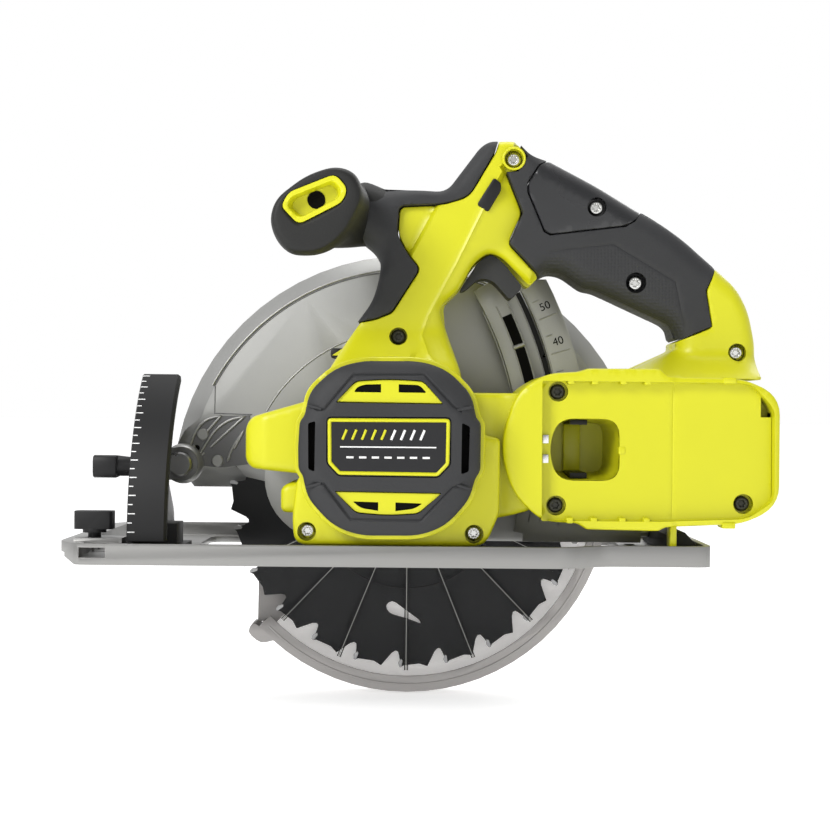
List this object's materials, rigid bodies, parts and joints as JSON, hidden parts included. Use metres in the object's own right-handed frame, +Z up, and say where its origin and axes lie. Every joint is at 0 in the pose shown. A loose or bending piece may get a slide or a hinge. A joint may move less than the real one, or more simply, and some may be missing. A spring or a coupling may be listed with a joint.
{
  "type": "circular saw",
  "caption": "Cordless circular saw with a tilting sole, swinging depth arm, sprung lower blade guard, geared motor drive and a closed two-grip handle; bare tool without its battery.",
  "frame": {"origin": "underside of the sole, below the blade's axis along the cut and midway across the sole's width", "axes": "+Z up, +X to the rear along the cut, so the saw cuts towards -X, +Y to the blade side, away from the motor"},
  "size_m": [0.329, 0.1576, 0.2719],
  "materials": {
    "sole_alloy": "brushed",
    "cast_alloy": "bead blasted",
    "painted_dark_steel": "satin dark grey",
    "black_nylon": "fine texture",
    "plated_steel": "zinc plated",
    "machined_steel": "machined",
    "blade_coating": "low-friction black coating",
    "guard_alloy": "satin",
    "clear_plastic": "clear moulded polycarbonate",
    "copper_winding": "enamelled copper windings on steel",
    "lime_nylon": "satin moulded",
    "grip_rubber": "soft textured overmould",
    "gloss_black": "gloss",
    "circuit_board": "solder mask"
  },
  "bodies": {
    "sole": {"sole_plate": "sole_alloy", "bevel_quadrant": "black_nylon", "rear_hinge_bracket": "black_nylon", "front_bevel_pin": "plated_steel", "rear_bevel_pin": "plated_steel"},
    "fence_screw": {"fence_thumb_screw": "black_nylon"},
    "bevel_frame": {"front_bracket": "painted_dark_steel", "depth_arm": "painted_dark_steel", "bevel_clamp_plate": "plated_steel"},
    "bevel_knob": {"bevel_lock_knob": "black_nylon"},
    "saw_body": {"upper_guard": "cast_alloy", "gear_case": "cast_alloy", "depth_pivot_pin": "plated_steel", "depth_lock_bolt": "plated_steel", "guard_spring": "machined_steel", "spindle_inner_bearing": "machined_steel", "spindle_outer_bearing": "machined_steel", "stator": "copper_winding", "motor_front_bearing": "machined_steel", "motor_rear_bearing": "machined_steel", "left_housing": "lime_nylon", "right_housing": "lime_nylon", "rear_housing_cover": "lime_nylon", "end_cap": "lime_nylon", "end_cap_bumper": "grip_rubber", "badge_plate": "gloss_black", "front_grip": "grip_rubber", "front_grip_insert": "lime_nylon", "handle_grip_left": "grip_rubber", "handle_grip_right": "grip_rubber", "handle_top_cap": "gloss_black", "trigger_switch": "black_nylon", "control_board": "circuit_board", "terminal_block": "black_nylon", "base_screw_front": "plated_steel", "base_screw_rear": "plated_steel", "trunk_top_screw": "plated_steel", "cap_screw": "plated_steel", "grip_screw": "plated_steel", "rear_handle_screw": "plated_steel", "trunk_screw": "plated_steel", "deck_screw_upper": "plated_steel", "deck_screw_lower": "plated_steel", "deck_screw_rear": "plated_steel"},
    "depth_lever": {"depth_lock_lever": "black_nylon"},
    "rotor": {"rotor_shaft": "machined_steel", "rotor_core": "machined_steel", "cooling_fan": "black_nylon"},
    "spindle": {"spindle": "machined_steel", "output_gear": "machined_steel", "inner_flange": "machined_steel", "saw_blade": "blade_coating", "outer_flange": "machined_steel", "blade_bolt": "machined_steel"},
    "lower_guard": {"lower_guard": "guard_alloy", "guard_window": "clear_plastic", "guard_lever": "black_nylon"},
    "trigger": {"trigger": "grip_rubber"},
    "lock_off": {"lock_off_button": "black_nylon"},
    "spindle_lock": {"spindle_lock_button": "black_nylon"}
  },
  "joints": [
    {"name": "bevel_tilt", "type": "hinge", "parent": "sole", "child": "bevel_frame", "pos_m": [0, 0.033, 0.009], "axis": [-1, 0, 0], "range_deg": [0, 50]},
    {"name": "fence_screw_turn", "type": "hinge", "parent": "sole", "child": "fence_screw", "pos_m": [-0.144, -0.052, 0.012], "axis": [0, 0, 1], "range_deg": [-180, 180]},
    {"name": "bevel_knob_turn", "type": "hinge", "parent": "bevel_frame", "child": "bevel_knob", "pos_m": [-0.13, -0.033, 0.043], "axis": [-1, 0, 0], "range_deg": [-30, 60]},
    {"name": "depth_swing", "type": "hinge", "parent": "bevel_frame", "child": "saw_body", "pos_m": [-0.1135, 0.03, 0.043], "axis": [0, -1, 0], "range_deg": [0, 30]},
    {"name": "depth_lever_turn", "type": "hinge", "parent": "saw_body", "child": "depth_lever", "pos_m": [0.0735, 0.005, 0.043], "axis": [0, -1, 0], "range_deg": [0, 50]},
    {"name": "blade_spin", "type": "hinge", "parent": "saw_body", "child": "spindle", "pos_m": [0, 0.033, 0.03], "axis": [0, 1, 0], "continuous": true},
    {"name": "rotor_spin", "type": "hinge", "parent": "saw_body", "child": "rotor", "pos_m": [-0.0076, 0, 0.05329], "axis": [0, 1, 0], "continuous": true},
    {"name": "guard_swing", "type": "hinge", "parent": "saw_body", "child": "lower_guard", "pos_m": [0, 0.033, 0.03], "axis": [0, -1, 0], "range_deg": [0, 110], "stiffness_Nm_per_rad": 0.08, "springref_deg": -91.67},
    {"name": "trigger_pull", "type": "hinge", "parent": "saw_body", "child": "trigger", "pos_m": [0.034, -0.018, 0.143], "axis": [0, -1, 0], "range_deg": [0, 8], "stiffness_Nm_per_rad": 2, "springref_deg": -4.58},
    {"name": "lock_off_press", "type": "slide", "parent": "saw_body", "child": "lock_off", "axis": [0, 1, 0], "range_m": [0, 0.004], "stiffness_N_per_m": 900, "springref_m": -0.002},
    {"name": "spindle_lock_press", "type": "slide", "parent": "saw_body", "child": "spindle_lock", "axis": [-0.5946, 0, -0.804], "range_m": [0, 0.0015], "stiffness_N_per_m": 900, "springref_m": -0.002}
  ],
  "couplings": [
    {"joint": "rotor_spin", "follows": "blade_spin", "ratio": -3.0833}
  ]
}
